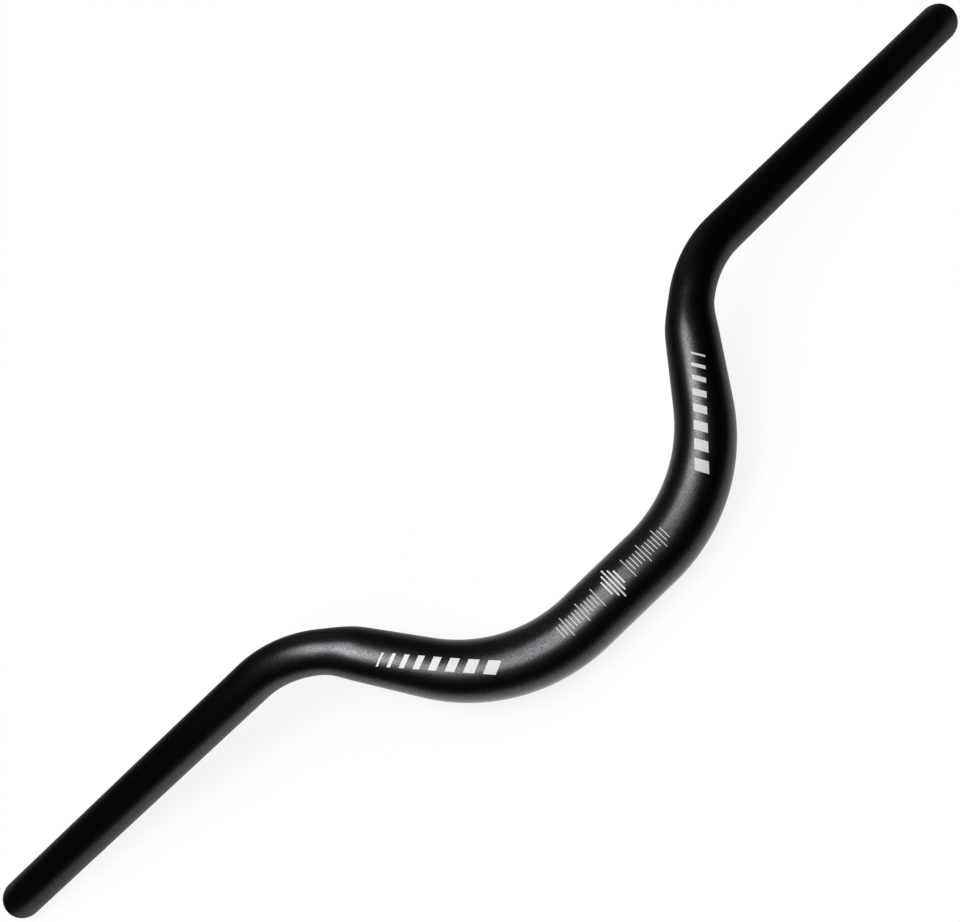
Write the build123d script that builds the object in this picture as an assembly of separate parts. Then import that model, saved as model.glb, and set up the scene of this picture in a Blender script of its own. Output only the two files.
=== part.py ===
# Riser handlebar: one aluminium tube, swaged thinner towards its ends, then bent twice on each side.
# Millimetres and degrees. The bar lies on its back, as it comes to rest on a flat surface.
# Origin at the middle of the stem clamp, +X along the clamp, +Y towards the grips, +Z up.
import os
from math import ceil, cos, radians, sin, sqrt, tan

from build123d import *

# Driving dimensions, as the bar is measured when a stem holds it upright
overall_width = 720.0  # between the middles of the two end faces
rise = 95.0  # from the clamp's axis up to the middles of the end faces
backsweep = 13.5  # of the grips, towards the rider
upsweep = 1.0  # of the grips, outwards
riser_angle = 54.5  # of the risers, up from the clamp's axis
lower_bend_radius = 87.0  # of the centreline, beside the clamp
upper_bend_radius = 63.0  # of the centreline, below the grips
clamp_diameter = 31.8
clamp_length = 45.0  # straight and of full diameter
riser_foot_diameter = 28.7  # where the lower bend ends
riser_head_diameter = 26.0  # where the upper bend starts
grip_diameter = 22.2
taper_into_upper_bend = 20.0  # length of the upper bend that still tapers
clamp_wall = 2.4
grip_wall = 2.0
end_chamfer = 0.5  # on the outer and inner edges of the cut ends
section_spacing = 5.0  # between the sections that shape a tapered bend, at most

clamp_radius = clamp_diameter / 2
grip_radius = grip_diameter / 2

# Corners of the right half's centreline before they are rounded, with the bar upright:
# X to the right, Y back towards the rider, Z up
lower_corner_x = clamp_length / 2 + lower_bend_radius * tan(radians(riser_angle / 2))
tip_x = overall_width / 2
upsweep_slope = tan(radians(upsweep))
riser_slope = tan(radians(riser_angle))
upper_corner_z = (rise - (tip_x - lower_corner_x) * upsweep_slope) / (1 - upsweep_slope / riser_slope)
upper_corner_x = lower_corner_x + upper_corner_z / riser_slope
tip_y = (tip_x - upper_corner_x) * tan(radians(backsweep))

bar_middle = Vector(0, 0, 0)
lower_corner = Vector(lower_corner_x, 0, 0)
upper_corner = Vector(upper_corner_x, 0, upper_corner_z)
tip = Vector(tip_x, tip_y, rise)
grip_direction = (tip - upper_corner).normalized()

# The rounded centreline: clamp, lower bend, riser, upper bend, grip
centreline = Wire(
    FilletPolyline(
        bar_middle, lower_corner, upper_corner, tip, radius=(lower_bend_radius, upper_bend_radius)
    ).edges()
)
clamp_line, lower_bend, riser_line, upper_bend, grip_line = centreline.edges()

# Distances from the bar's middle along the centreline
taper_start = clamp_line.length
riser_foot = taper_start + lower_bend.length
riser_head = riser_foot + riser_line.length
taper_end = riser_head + taper_into_upper_bend
grip_start = riser_head + upper_bend.length
level_line = upper_bend.trim(taper_into_upper_bend / upper_bend.length, 1)  # no longer tapers

# The taper's distances, radii and slopes: a plain cone along the riser, which each bend runs out of
# until the tube is level, at the clamp and at the grip
cone_slope = (riser_head_diameter - riser_foot_diameter) / 2 / riser_line.length
taper = [
    (taper_start, clamp_radius, 0.0),
    (riser_foot, riser_foot_diameter / 2, cone_slope),
    (riser_head, riser_head_diameter / 2, cone_slope),
    (taper_end, grip_radius, 0.0),
]


def outer_radius(distance):
    # A cubic between each pair of the taper's points
    span = max(i for i in range(len(taper) - 1) if i == 0 or taper[i][0] <= distance)
    (d0, r0, slope0), (d1, r1, slope1) = taper[span : span + 2]
    u = (distance - d0) / (d1 - d0)
    level = r0 * (1 + 2 * u) * (1 - u) ** 2 + r1 * (3 - 2 * u) * u**2
    lean = slope0 * (1 - u) - slope1 * u
    return level + lean * (d1 - d0) * u * (1 - u)


def bore_radius(distance):
    # The wall is butted: it thins in step with the taper
    outer = outer_radius(distance)
    share = (outer - grip_radius) / (clamp_radius - grip_radius)
    return outer - grip_wall - share * (clamp_wall - grip_wall)


def section(distance, radius):
    point = centreline.position_at(distance, position_mode=PositionMode.LENGTH)
    direction = centreline.tangent_at(distance, position_mode=PositionMode.LENGTH)
    return Plane(origin=point, x_dir=(0, 1, 0), z_dir=direction) * Circle(radius)


def tapered_bend(start, end, radius_at):
    steps = ceil((end - start) / section_spacing)
    distances = [start + (end - start) * i / steps for i in range(steps + 1)]
    return loft([section(distance, radius_at(distance)) for distance in distances])


def rod(radius_at, overrun):
    # The whole bar as a solid of the given radius, running past both end faces by the overrun
    clamp = extrude(section(0, radius_at(taper_start)), amount=clamp_line.length, both=True)
    foot_bend = tapered_bend(taper_start, riser_foot, radius_at)
    riser = loft([section(distance, radius_at(distance)) for distance in (riser_foot, riser_head)])
    head_bend = tapered_bend(riser_head, taper_end, radius_at)
    level_bend = sweep(section(taper_end, radius_at(taper_end)), path=level_line)
    grip = extrude(section(grip_start, radius_at(taper_end)), amount=grip_line.length + overrun)
    arm = foot_bend + riser + head_bend + level_bend + grip
    return clamp + arm + mirror(arm, about=Plane.YZ)


def height_when_laid(vector, angle):
    return vector.Z * cos(radians(angle)) - vector.Y * sin(radians(angle))


def lowest_rim_height(angle):
    # Lowest point of an end's outer rim, just inside its chamfer, over the clamp's axis
    rim_middle = height_when_laid(tip - grip_direction * end_chamfer, angle)
    grip_dip = height_when_laid(grip_direction, angle)
    return rim_middle - grip_radius * sqrt(1 - grip_dip**2)


def resting_angle():
    # The turn about the clamp's axis that lays the clamp and both rims on one surface
    upright, flat = 0.0, 90.0
    for _ in range(60):
        middle = (upright + flat) / 2
        if lowest_rim_height(middle) > -clamp_radius:
            upright = middle
        else:
            flat = middle
    return flat


tube = rod(outer_radius, overrun=0) - rod(bore_radius, overrun=grip_wall)
end_edges = [
    edge
    for edge in tube.edges().filter_by(GeomType.CIRCLE)
    if abs(abs(edge.arc_center.X) - tip_x) < end_chamfer
]
handlebar = chamfer(end_edges, end_chamfer).rotate(Axis.X, -resting_angle())

os.makedirs("parts", exist_ok=True)
export_step(handlebar, "parts/handlebar.step")
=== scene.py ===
import math

import bpy
from mathutils import Matrix, Vector


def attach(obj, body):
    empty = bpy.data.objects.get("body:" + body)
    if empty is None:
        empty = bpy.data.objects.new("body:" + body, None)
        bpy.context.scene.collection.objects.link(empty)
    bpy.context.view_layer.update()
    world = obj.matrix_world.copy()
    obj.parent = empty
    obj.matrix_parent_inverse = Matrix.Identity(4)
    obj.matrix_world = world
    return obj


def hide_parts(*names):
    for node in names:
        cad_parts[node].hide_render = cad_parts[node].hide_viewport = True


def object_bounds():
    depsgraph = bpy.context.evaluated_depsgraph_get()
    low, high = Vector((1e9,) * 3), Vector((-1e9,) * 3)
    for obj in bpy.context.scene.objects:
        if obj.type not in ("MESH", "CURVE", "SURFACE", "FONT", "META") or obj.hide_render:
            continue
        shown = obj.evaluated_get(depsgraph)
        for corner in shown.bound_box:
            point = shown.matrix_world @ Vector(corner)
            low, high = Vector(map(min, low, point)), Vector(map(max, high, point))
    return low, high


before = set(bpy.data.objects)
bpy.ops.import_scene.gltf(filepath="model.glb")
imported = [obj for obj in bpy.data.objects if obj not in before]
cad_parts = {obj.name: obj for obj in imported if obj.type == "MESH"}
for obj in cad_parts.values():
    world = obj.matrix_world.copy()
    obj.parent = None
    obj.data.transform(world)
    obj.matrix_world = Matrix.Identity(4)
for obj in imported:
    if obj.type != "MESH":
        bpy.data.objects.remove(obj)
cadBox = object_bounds()
print("frame loaded:", ", ".join(sorted(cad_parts)))

scene = bpy.context.scene
scene.view_settings.view_transform = "Standard"
smoothAngle = math.radians(25)  # edges sharper than this stay sharp


def clearSelection():
    if bpy.context.object and bpy.context.object.mode != "OBJECT":
        bpy.ops.object.mode_set(mode="OBJECT")
    bpy.ops.object.select_all(action="DESELECT")


def takeUp(*pieces):
    clearSelection()
    for piece in pieces:
        piece.select_set(True)
    bpy.context.view_layer.objects.active = pieces[0]


def editMesh(action="SELECT"):
    bpy.ops.object.mode_set(mode="EDIT")
    bpy.ops.mesh.select_all(action=action)


def leaveMesh():
    bpy.ops.object.mode_set(mode="OBJECT")


def closeSeams(reach):
    editMesh()
    bpy.ops.mesh.remove_doubles(threshold=reach)
    bpy.ops.mesh.normals_make_consistent(inside=False)
    leaveMesh()


def applyModifier(piece, kind, **settings):
    takeUp(piece)
    modifier = piece.modifiers.new(kind.title(), kind)
    for name, value in settings.items():
        setattr(modifier, name, value)
    bpy.ops.object.modifier_apply(modifier=modifier.name)


# the bar upright, as a stem holds it: x right, y back, z up; metres and degrees
tube = {
    "width": 0.720,
    "rise": 0.095,
    "backsweep": 13.5,
    "upsweep": 1.0,
    "riserAngle": 54.5,
    "lowerBend": 0.087,
    "upperBend": 0.063,
    "clampLength": 0.045,
    "clampRadius": 0.0159,
    "footRadius": 0.01435,
    "headRadius": 0.0130,
    "gripRadius": 0.0111,
    "taperIntoUpperBend": 0.020,
    "clampWall": 0.0024,
    "gripWall": 0.0020,
    "endChamfer": 0.0005,
    "chamferSegments": 3,
    "layBack": 62.7546,  # turn about the clamp's axis that lays it on the floor
    "ringPoints": 128,
    "bendStep": 0.0024,  # between rings in a bend
    "clampSteps": 3,  # rings along the straight runs of one half
    "riserSteps": 6,
    "gripSteps": 12,
    "weldReach": 0.00001,  # points nearer than this become one
    "hairline": 0.000001,
}

lowerX = tube["clampLength"] / 2 + tube["lowerBend"] * math.tan(math.radians(tube["riserAngle"] / 2))
tipX = tube["width"] / 2
upsweepSlope = math.tan(math.radians(tube["upsweep"]))
riserSlope = math.tan(math.radians(tube["riserAngle"]))
upperZ = (tube["rise"] - (tipX - lowerX) * upsweepSlope) / (1 - upsweepSlope / riserSlope)
upperX = lowerX + upperZ / riserSlope
tipY = (tipX - upperX) * math.tan(math.radians(tube["backsweep"]))
tip = Vector((tipX, tipY, tube["rise"]))
corners = [Vector((0, 0, 0)), Vector((lowerX, 0, 0)), Vector((upperX, 0, upperZ)), tip]
headings = [(end - start).normalized() for start, end in zip(corners, corners[1:])]


def bendAt(i, radius):
    turn = headings[i - 1].angle(headings[i])
    start = corners[i] - headings[i - 1] * radius * math.tan(turn / 2)
    inward = (headings[i] - headings[i - 1] * math.cos(turn)).normalized()
    return {
        "turn": turn,
        "length": radius * turn,
        "start": start,
        "end": corners[i] + headings[i] * radius * math.tan(turn / 2),
        "centre": start + inward * radius,
        "axis": headings[i - 1].cross(headings[i]).normalized(),
    }


lowerBend = bendAt(1, tube["lowerBend"])
upperBend = bendAt(2, tube["upperBend"])

# distances from the middle along the centreline, with the radius and its slope there
taperStart = tube["clampLength"] / 2
riserFoot = taperStart + lowerBend["length"]
riserHead = riserFoot + (upperBend["start"] - lowerBend["end"]).length
taperEnd = riserHead + tube["taperIntoUpperBend"]
coneSlope = (tube["headRadius"] - tube["footRadius"]) / (riserHead - riserFoot)
taper = [
    (taperStart, tube["clampRadius"], 0),
    (riserFoot, tube["footRadius"], coneSlope),
    (riserHead, tube["headRadius"], coneSlope),
    (taperEnd, tube["gripRadius"], 0),
]


def outsideRadius(along):
    if along <= taperStart:
        return tube["clampRadius"]
    if along >= taperEnd:
        return tube["gripRadius"]
    spans = [span for span in zip(taper, taper[1:]) if span[0][0] <= along]
    (d0, r0, slope0), (d1, r1, slope1) = spans[-1]
    u = (along - d0) / (d1 - d0)
    level = r0 * (1 + 2 * u) * (1 - u) ** 2 + r1 * (3 - 2 * u) * u**2
    return level + (slope0 * (1 - u) - slope1 * u) * (d1 - d0) * u * (1 - u)


def boreRadius(along):
    outside = outsideRadius(along)
    share = (outside - tube["gripRadius"]) / (tube["clampRadius"] - tube["gripRadius"])
    return outside - tube["gripWall"] - share * (tube["clampWall"] - tube["gripWall"])


# a ring is pushed along the right half from the middle to the tip, swaged on the way, and drawn in at the cut
def runSkin(name, radiusAt, cutRadius=None):
    clearSelection()
    bpy.ops.mesh.primitive_circle_add(
        vertices=tube["ringPoints"], radius=radiusAt(0), fill_type="NOTHING", rotation=(0, math.pi / 2, 0)
    )
    skin = bpy.context.object
    skin.name = name
    bpy.ops.object.transform_apply(location=False, rotation=True, scale=False)
    editMesh()
    ring = {"along": 0.0, "middle": Vector((0, 0, 0))}

    def resize(ratio, middle):
        bpy.ops.transform.resize(value=(ratio, ratio, ratio), center_override=middle)

    def swage(along, middle):
        ratio = radiusAt(along) / radiusAt(ring["along"])
        ring.update(along=along, middle=middle)
        if not math.isclose(ratio, 1):
            resize(ratio, middle)

    def push(end, steps):
        stride = (end - ring["middle"]) / steps
        for _ in range(steps):
            bpy.ops.mesh.extrude_region_move(TRANSFORM_OT_translate={"value": stride})
            swage(ring["along"] + stride.length, ring["middle"] + stride)

    def bend(shape, share):
        steps = math.ceil(shape["length"] * share / tube["bendStep"])
        turn = shape["turn"] * share / steps
        swing = Matrix.Rotation(turn, 3, shape["axis"])
        for _ in range(steps):
            bpy.ops.mesh.spin(steps=1, angle=-turn, center=shape["centre"], axis=shape["axis"])
            middle = shape["centre"] + swing @ (ring["middle"] - shape["centre"])
            swage(ring["along"] + shape["length"] * share / steps, middle)

    tapered = tube["taperIntoUpperBend"] / upperBend["length"]
    push(lowerBend["start"], tube["clampSteps"])
    bend(lowerBend, 1)
    push(upperBend["start"], tube["riserSteps"])
    bend(upperBend, tapered)
    bend(upperBend, 1 - tapered)
    push(tip, tube["gripSteps"])
    if cutRadius:
        bpy.ops.mesh.extrude_region_move(TRANSFORM_OT_translate={"value": (0, 0, 0)})
        resize(cutRadius / tube["gripRadius"], tip)
    leaveMesh()
    return skin


handlebar = runSkin("handlebar_tube", outsideRadius, tube["gripRadius"] - tube["gripWall"])
bore = runSkin("bore", boreRadius)
print("skins:", len(handlebar.data.vertices), "and", len(bore.data.vertices), "points")

takeUp(handlebar, bore)
bpy.ops.object.join()
closeSeams(tube["weldReach"])  # the cut face against the bore


def onCut(point):
    return abs((point - tip).dot(headings[2])) < tube["hairline"]


# an edge of the cut face that runs round the tube, not across its wall
def roundsCut(a, b):
    return onCut(a) and onCut(b) and abs((a - tip).length - (b - tip).length) < tube["weldReach"]


bpy.ops.object.mode_set(mode="EDIT")
bpy.ops.mesh.select_mode(type="EDGE")
bpy.ops.mesh.select_all(action="DESELECT")
leaveMesh()
points = handlebar.data.vertices
for edge in handlebar.data.edges:
    edge.select = roundsCut(*(points[i].co for i in edge.vertices))
bpy.ops.object.mode_set(mode="EDIT")
bpy.ops.mesh.bevel(offset=tube["endChamfer"], segments=tube["chamferSegments"], affect="EDGES")
leaveMesh()
applyModifier(handlebar, "MIRROR", use_mirror_merge=True, merge_threshold=tube["weldReach"])
closeSeams(tube["hairline"])
handlebar.rotation_euler.x = -math.radians(tube["layBack"])
bpy.ops.object.transform_apply(location=False, rotation=True, scale=False)
bpy.ops.object.shade_smooth_by_angle(angle=smoothAngle)
print("handlebar:", len(handlebar.data.polygons), "faces")


# printed marks: slanted bars that slim down towards the grips, and a centring scale at the clamp
prints = {
    "inkLift": 0.00002,
    "inkThickness": 0.00005,
    "meshStep": 0.0006,  # between the points of a mark, so that it follows the tube
    "standOff": 0.02,  # a flat mark starts this far over the tube
    "barCount": 8,
    "widestBar": 0.0060,
    "slimmestBar": 0.0010,
    "barGap": 0.0041,
    "barHeight": 0.0064,
    "barSlant": 0.0022,
    "barsMiddle": (0.0859, 0.0260, 0.0284),  # on the right riser, lying down
    "barsHeading": (0.0378, 0.0368, 0.0171),
    "barsFacing": (-0.305, -0.200, 0.930),
    "scaleMiddle": (0, 0, 0.016),  # on top of the clamp
    "scaleHeading": (1, 0, 0),
    "scaleFacing": (0, -0.04, 1),
    "tickWidth": 0.00035,
    "tickPitch": 0.0020,
    "tickCount": 13,
    "tickStart": 0.010,
    "tickHeight": 0.0065,
    "longTick": 0.0110,
    "longEvery": 5,
    "middleTicks": ((0, 0.0170), (1, 0.0125), (2, 0.0080)),  # steps from the middle, and heights
    "middleWidth": 0.0008,
}


def flatMark(name, length, height, slant=0.0):
    clearSelection()
    bpy.ops.mesh.primitive_plane_add(size=1)
    mark = bpy.context.object
    mark.name = name
    mark.scale = (length, height, 1)
    bpy.ops.object.transform_apply(location=False, rotation=False, scale=True)
    if slant:
        editMesh("DESELECT")
        leaveMesh()
        for point in mark.data.vertices:
            point.select = point.co.y > 0
        bpy.ops.object.mode_set(mode="EDIT")
        bpy.ops.transform.translate(value=(slant, 0, 0))
    editMesh()
    bpy.ops.mesh.subdivide(number_cuts=max(1, round(height / prints["meshStep"])))
    leaveMesh()
    return mark


def shiftMark(mark, along):
    takeUp(mark)
    mark.location = (along, 0, 0)
    bpy.ops.object.transform_apply(location=True, rotation=False, scale=False)


def printOn(mark, middle, heading, facing):
    up = Vector(facing).normalized()
    side = up.cross(Vector(heading)).normalized()
    turned = Matrix((side.cross(up), side, up)).transposed().to_4x4()
    mark.matrix_world = Matrix.Translation(Vector(middle) + up * prints["standOff"]) @ turned
    bpy.context.view_layer.update()
    applyModifier(
        mark,
        "SHRINKWRAP",
        target=handlebar,
        wrap_method="PROJECT",
        use_project_z=True,
        use_negative_direction=True,
        use_positive_direction=False,
        offset=prints["inkLift"],
    )
    bpy.ops.object.transform_apply(location=True, rotation=True, scale=True)


def scaleTick(width, height, along):
    tick = flatMark("tick", width, height)
    shiftMark(tick, along)
    printOn(tick, prints["scaleMiddle"], prints["scaleHeading"], prints["scaleFacing"])
    return tick


slimming = (prints["widestBar"] - prints["slimmestBar"]) / (prints["barCount"] - 1)
barWidths = [prints["widestBar"] - i * slimming for i in range(prints["barCount"])]
barsLength = sum(barWidths) + prints["barGap"] * (prints["barCount"] - 1)
marks = []
for side in (1, -1):
    slantBars = []
    for i, width in enumerate(barWidths):
        slantBar = flatMark("bar", width, prints["barHeight"], prints["barSlant"])
        along = sum(barWidths[:i]) + i * prints["barGap"] + width / 2 - barsLength / 2
        shiftMark(slantBar, side * along - prints["barSlant"] / 2)
        slantBars.append(slantBar)
    takeUp(*slantBars)
    bpy.ops.object.join()
    flip = Vector((side, 1, 1))
    printOn(
        slantBars[0],
        middle=Vector(prints["barsMiddle"]) * flip,
        heading=Vector(prints["barsHeading"]) * flip * side,
        facing=Vector(prints["barsFacing"]) * flip,
    )
    marks.append(slantBars[0])
    for i in range(prints["tickCount"]):
        height = prints["tickHeight"] if i % prints["longEvery"] else prints["longTick"]
        along = side * (prints["tickStart"] + i * prints["tickPitch"])
        marks.append(scaleTick(prints["tickWidth"], height, along))
    for step, height in prints["middleTicks"]:
        if step or side > 0:
            marks.append(scaleTick(prints["middleWidth"], height, side * step * prints["tickPitch"]))

takeUp(*marks)
bpy.ops.object.join()
printedMarks = bpy.context.object
printedMarks.name = "printed_marks"
applyModifier(printedMarks, "SOLIDIFY", thickness=prints["inkThickness"], offset=0)
print("printed marks:", len(printedMarks.data.polygons), "faces")


def newMaterial(name):
    material = bpy.data.materials.new(name)
    material.use_nodes = True
    tree = material.node_tree
    return material, tree.nodes, tree.links, tree.nodes["Principled BSDF"]


# fine bead-blasted grain, and the slow unevenness of a dyed or printed coat
blasted = {
    "grainScale": 1500.0,
    "grainDetail": 3.0,
    "grainRoughness": 0.65,
    "grainLow": 0.3,  # noise at which the grain is darkest, and lightest
    "grainHigh": 0.7,
    "cloudScale": 60.0,
    "cloudDetail": 4.0,
    "pitScale": 0.8,  # of the grain's scale
    "pitDepth": 0.6,
}
grainGroup = bpy.data.node_groups.new("blastedGrain", "ShaderNodeTree")
for name, start in (("Grain Scale", blasted["grainScale"]), ("Cloud Scale", blasted["cloudScale"])):
    socket = grainGroup.interface.new_socket(name, in_out="INPUT", socket_type="NodeSocketFloat")
    socket.default_value = start
for name in ("Grain", "Clouds", "Height"):
    grainGroup.interface.new_socket(name, in_out="OUTPUT", socket_type="NodeSocketFloat")
nodes, links = grainGroup.nodes, grainGroup.links
groupIn = nodes.new("NodeGroupInput")
groupOut = nodes.new("NodeGroupOutput")
onPiece = nodes.new("ShaderNodeTexCoord").outputs["Object"]
grain = nodes.new("ShaderNodeTexNoise")
grain.inputs["Detail"].default_value = blasted["grainDetail"]
grain.inputs["Roughness"].default_value = blasted["grainRoughness"]
clouds = nodes.new("ShaderNodeTexNoise")
clouds.inputs["Detail"].default_value = blasted["cloudDetail"]
grainSpread = nodes.new("ShaderNodeMapRange")
grainSpread.inputs["From Min"].default_value = blasted["grainLow"]
grainSpread.inputs["From Max"].default_value = blasted["grainHigh"]
pits = nodes.new("ShaderNodeTexVoronoi")
pits.feature = "SMOOTH_F1"
pitSize = nodes.new("ShaderNodeMath")
pitSize.operation = "MULTIPLY"
pitSize.inputs[1].default_value = blasted["pitScale"]
relief = nodes.new("ShaderNodeMath")
relief.operation = "MULTIPLY_ADD"
relief.inputs[1].default_value = blasted["pitDepth"]
for texture in (grain, clouds, pits):
    links.new(onPiece, texture.inputs["Vector"])
links.new(groupIn.outputs["Grain Scale"], grain.inputs["Scale"])
links.new(groupIn.outputs["Grain Scale"], pitSize.inputs[0])
links.new(pitSize.outputs[0], pits.inputs["Scale"])
links.new(groupIn.outputs["Cloud Scale"], clouds.inputs["Scale"])
links.new(grain.outputs["Fac"], grainSpread.inputs["Value"])
links.new(pits.outputs["Distance"], relief.inputs[0])
links.new(grain.outputs["Fac"], relief.inputs[2])
links.new(grainSpread.outputs["Result"], groupOut.inputs["Grain"])
links.new(clouds.outputs["Fac"], groupOut.inputs["Clouds"])
links.new(relief.outputs[0], groupOut.inputs["Height"])


# the grain with a finish's own scales, its relief on the shader and two colours mixed by one of its outputs
def layGrain(nodes, links, shader, finish, colours, mask):
    surface = nodes.new("ShaderNodeGroup")
    surface.node_tree = grainGroup
    surface.inputs["Grain Scale"].default_value = finish["grainScale"]
    surface.inputs["Cloud Scale"].default_value = finish["cloudScale"]
    mix = nodes.new("ShaderNodeMix")
    mix.data_type = "RGBA"
    mix.inputs["A"].default_value, mix.inputs["B"].default_value = colours
    bump = nodes.new("ShaderNodeBump")
    bump.inputs["Strength"].default_value = finish["bump"]
    bump.inputs["Distance"].default_value = finish["bumpDepth"]
    links.new(surface.outputs[mask], mix.inputs["Factor"])
    links.new(mix.outputs["Result"], shader.inputs["Base Color"])
    links.new(surface.outputs["Height"], bump.inputs["Height"])
    links.new(bump.outputs["Normal"], shader.inputs["Normal"])
    return surface


def dress(piece, material):
    piece.data.materials.clear()
    piece.data.materials.append(material)


anodised = {
    "dark": (0.0105, 0.0105, 0.0122, 1),
    "light": (0.0935, 0.0935, 0.0995, 1),
    "roughLow": 0.27,
    "roughHigh": 0.33,
    "grainScale": 1500.0,
    "cloudScale": 45.0,
    "bump": 0.25,
    "bumpDepth": 0.00006,
    "seal": 0.5,  # clear sealed layer over the dye
    "sealRoughness": 0.31,
}
blackAnodised, nodes, links, satin = newMaterial("black_anodised_satin")
surface = layGrain(nodes, links, satin, anodised, (anodised["dark"], anodised["light"]), "Grain")
polish = nodes.new("ShaderNodeMapRange")
polish.inputs["To Min"].default_value = anodised["roughLow"]
polish.inputs["To Max"].default_value = anodised["roughHigh"]
links.new(surface.outputs["Clouds"], polish.inputs["Value"])
links.new(polish.outputs["Result"], satin.inputs["Roughness"])
satin.inputs["Metallic"].default_value = 1.0
satin.inputs["Coat Weight"].default_value = anodised["seal"]
satin.inputs["Coat Roughness"].default_value = anodised["sealRoughness"]
dress(handlebar, blackAnodised)

ink = {
    "thin": (0.86, 0.86, 0.87, 1),
    "full": (0.94, 0.94, 0.94, 1),
    "roughness": 0.5,
    "grainScale": 1500.0,
    "cloudScale": 400.0,
    "bump": 0.12,
    "bumpDepth": 0.00006,
}
whiteInk, nodes, links, coat = newMaterial("white_ink")
layGrain(nodes, links, coat, ink, (ink["thin"], ink["full"]), "Clouds")
coat.inputs["Roughness"].default_value = ink["roughness"]
dress(printedMarks, whiteInk)
print("materials:", blackAnodised.name, whiteInk.name)

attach(handlebar, "root")
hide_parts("handlebar")
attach(printedMarks, "root")

# studio: pale floor that rises into a round backdrop, a soft box overhead, and a dark room above
studio = {
    "floorRadius": 2.0,
    "coveRadius": 1.0,
    "coveSteps": 12,
    "wallTop": 2.8,
    "ringPoints": 96,
    "floorColour": 0.20,
    "roughness": 0.9,
    "poolPlace": (-0.100, -0.022),  # middle of the floor light that the tube mirrors
    "poolReach": (0.262, 0.083, 1.0),
    "wallPlace": (0.572, 2.945),  # foot of the dimmer light behind, on the backdrop
    "wallReach": (0.75, 0.75, 2.6),
    "wallShare": 0.17,
    "room": (0.01, 0.01, 0.01, 1),
}
lamps = {
    "soft_box": {
        "place": (-0.092, 0.064, 0.400),
        "size": (0.247, 0.381),
        "turn": -5.0,
        "watts": 1.28,
    },
    "box_middle": {  # its hot spot
        "place": (-0.130, 0.050, 0.399),
        "size": (0.120, 0.180),
        "turn": 0.0,
        "watts": 0.32,
    },
}
floorHeight = cadBox[0].z
coveTurns = [math.pi / 2 * i / studio["coveSteps"] for i in range(studio["coveSteps"] + 1)]
coveRings = [
    (studio["floorRadius"] + studio["coveRadius"] * math.cos(a), studio["coveRadius"] * (1 - math.sin(a)))
    for a in coveTurns
]
ringRadius, ringHeight = coveRings[0][0], studio["wallTop"]
clearSelection()
bpy.ops.mesh.primitive_circle_add(
    vertices=studio["ringPoints"],
    radius=ringRadius,
    fill_type="NOTHING",
    location=(0, 0, floorHeight + ringHeight),
)
floor = bpy.context.object
floor.name = "floor"
bpy.ops.object.transform_apply(location=True, rotation=False, scale=False)
editMesh()
for radius, height in coveRings:
    bpy.ops.mesh.extrude_region_move(TRANSFORM_OT_translate={"value": (0, 0, height - ringHeight)})
    ratio = radius / ringRadius
    bpy.ops.transform.resize(value=(ratio, ratio, 1), center_override=(0, 0, floorHeight + height))
    ringRadius, ringHeight = radius, height
bpy.ops.mesh.edge_face_add()
bpy.ops.mesh.select_all(action="SELECT")
bpy.ops.mesh.normals_make_consistent(inside=True)
leaveMesh()
bpy.ops.object.shade_smooth_by_angle(angle=smoothAngle)

paleFloor, nodes, links, matt = newMaterial("pale_floor")
matt.inputs["Base Color"].default_value = (*[studio["floorColour"]] * 3, 1)
matt.inputs["Roughness"].default_value = studio["roughness"]
matt.inputs["Specular IOR Level"].default_value = 0.0
onFloor = nodes.new("ShaderNodeTexCoord").outputs["Object"]
path = nodes.new("ShaderNodeLightPath").outputs


def mathNode(operation, first, second):
    node = nodes.new("ShaderNodeMath")
    node.operation = operation
    for socket, value in zip(node.inputs, (first, second)):
        if isinstance(value, (int, float)):
            socket.default_value = value
        else:
            links.new(value, socket)
    return node.outputs[0]


def vectorNode(operation, first, second):
    node = nodes.new("ShaderNodeVectorMath")
    node.operation = operation
    links.new(first, node.inputs[0])
    if isinstance(second, tuple):
        node.inputs[1].default_value = second
    else:
        links.new(second, node.inputs[1])
    return node.outputs


# 1 at floor level below a place, a half at its reach and less beyond
def fallOff(place, reach):
    away = vectorNode("SUBTRACT", onFloor, (place[0], place[1], floorHeight))["Vector"]
    share = vectorNode("DIVIDE", away, reach)["Vector"]
    square = vectorNode("DOT_PRODUCT", share, share)["Value"]
    return mathNode("DIVIDE", 1.0, mathNode("ADD", square, 1.0))


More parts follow.
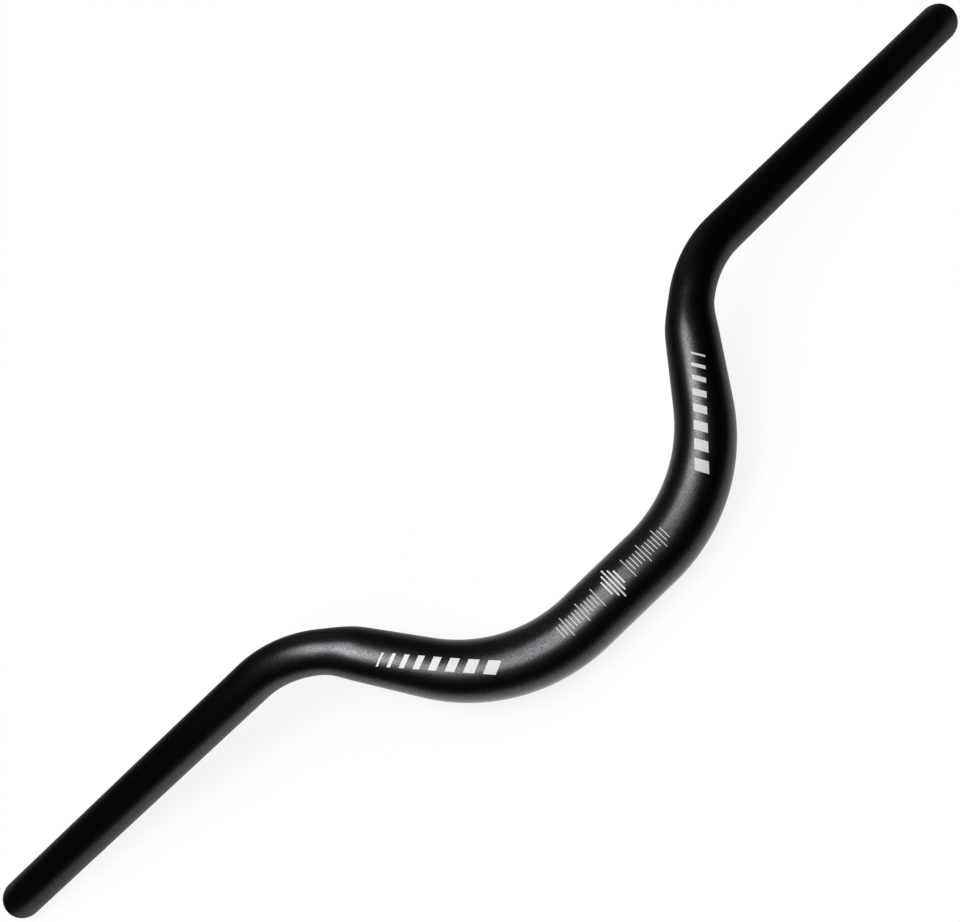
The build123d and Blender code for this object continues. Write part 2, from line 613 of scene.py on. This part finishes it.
# how white a lamp makes the floor
def litBy(lamp):
    drop = lamp["place"][2] - floorHeight
    reach = math.sqrt(drop**2 + lamp["size"][0] * lamp["size"][1] / math.pi)
    nearness = fallOff(lamp["place"], (reach, reach, reach))
    brightest = studio["floorColour"] * lamp["watts"] / (math.pi * reach) ** 2
    return mathNode("MULTIPLY", mathNode("MULTIPLY", nearness, nearness), brightest)


# what the lamps leave dark of a white floor glows for the camera, so the shadow stays; reflections see a pool
# of that white and a dim part of the backdrop, so the tube stays black above them
lit = 0.0
for lamp in lamps.values():
    lit = mathNode("ADD", litBy(lamp), lit)
pool = fallOff(studio["poolPlace"], studio["poolReach"])
wallLight = mathNode("MULTIPLY", fallOff(studio["wallPlace"], studio["wallReach"]), studio["wallShare"])
mirrored = mathNode("MULTIPLY", path["Is Glossy Ray"], mathNode("ADD", pool, wallLight))
seen = mathNode("MAXIMUM", path["Is Camera Ray"], path["Is Transmission Ray"])
wanted = mathNode("MAXIMUM", seen, mirrored)
glow = mathNode("MAXIMUM", mathNode("SUBTRACT", wanted, lit), 0.0)
matt.inputs["Emission Color"].default_value = (1, 1, 1, 1)
links.new(glow, matt.inputs["Emission Strength"])
paleFloor.cycles.emission_sampling = "NONE"
dress(floor, paleFloor)

for name, lamp in lamps.items():
    clearSelection()
    bpy.ops.object.light_add(type="AREA", location=lamp["place"], rotation=(0, 0, math.radians(lamp["turn"])))
    light = bpy.context.object
    light.name = name
    light.visible_camera = False
    light.data.shape = "RECTANGLE"
    light.data.size, light.data.size_y = lamp["size"]
    light.data.energy = lamp["watts"]

world = bpy.data.worlds.new("studio")
scene.world = world
world.use_nodes = True
world.node_tree.nodes["Background"].inputs["Color"].default_value = studio["room"]

# camera where the photograph was taken from
shot = {
    "place": (-0.010562, -0.101091, 0.359583),
    "turn": (23.13136, 19.67945, -39.86824),
    "lens": 27.769,
    "sensor": 36.0,
    "nearest": 0.01,
}
clearSelection()
bpy.ops.object.camera_add(location=shot["place"], rotation=[math.radians(a) for a in shot["turn"]])
camera = bpy.context.object
camera.data.lens = shot["lens"]
camera.data.sensor_width = shot["sensor"]
camera.data.clip_start = shot["nearest"]
scene.camera = camera
print("studio and camera ready")
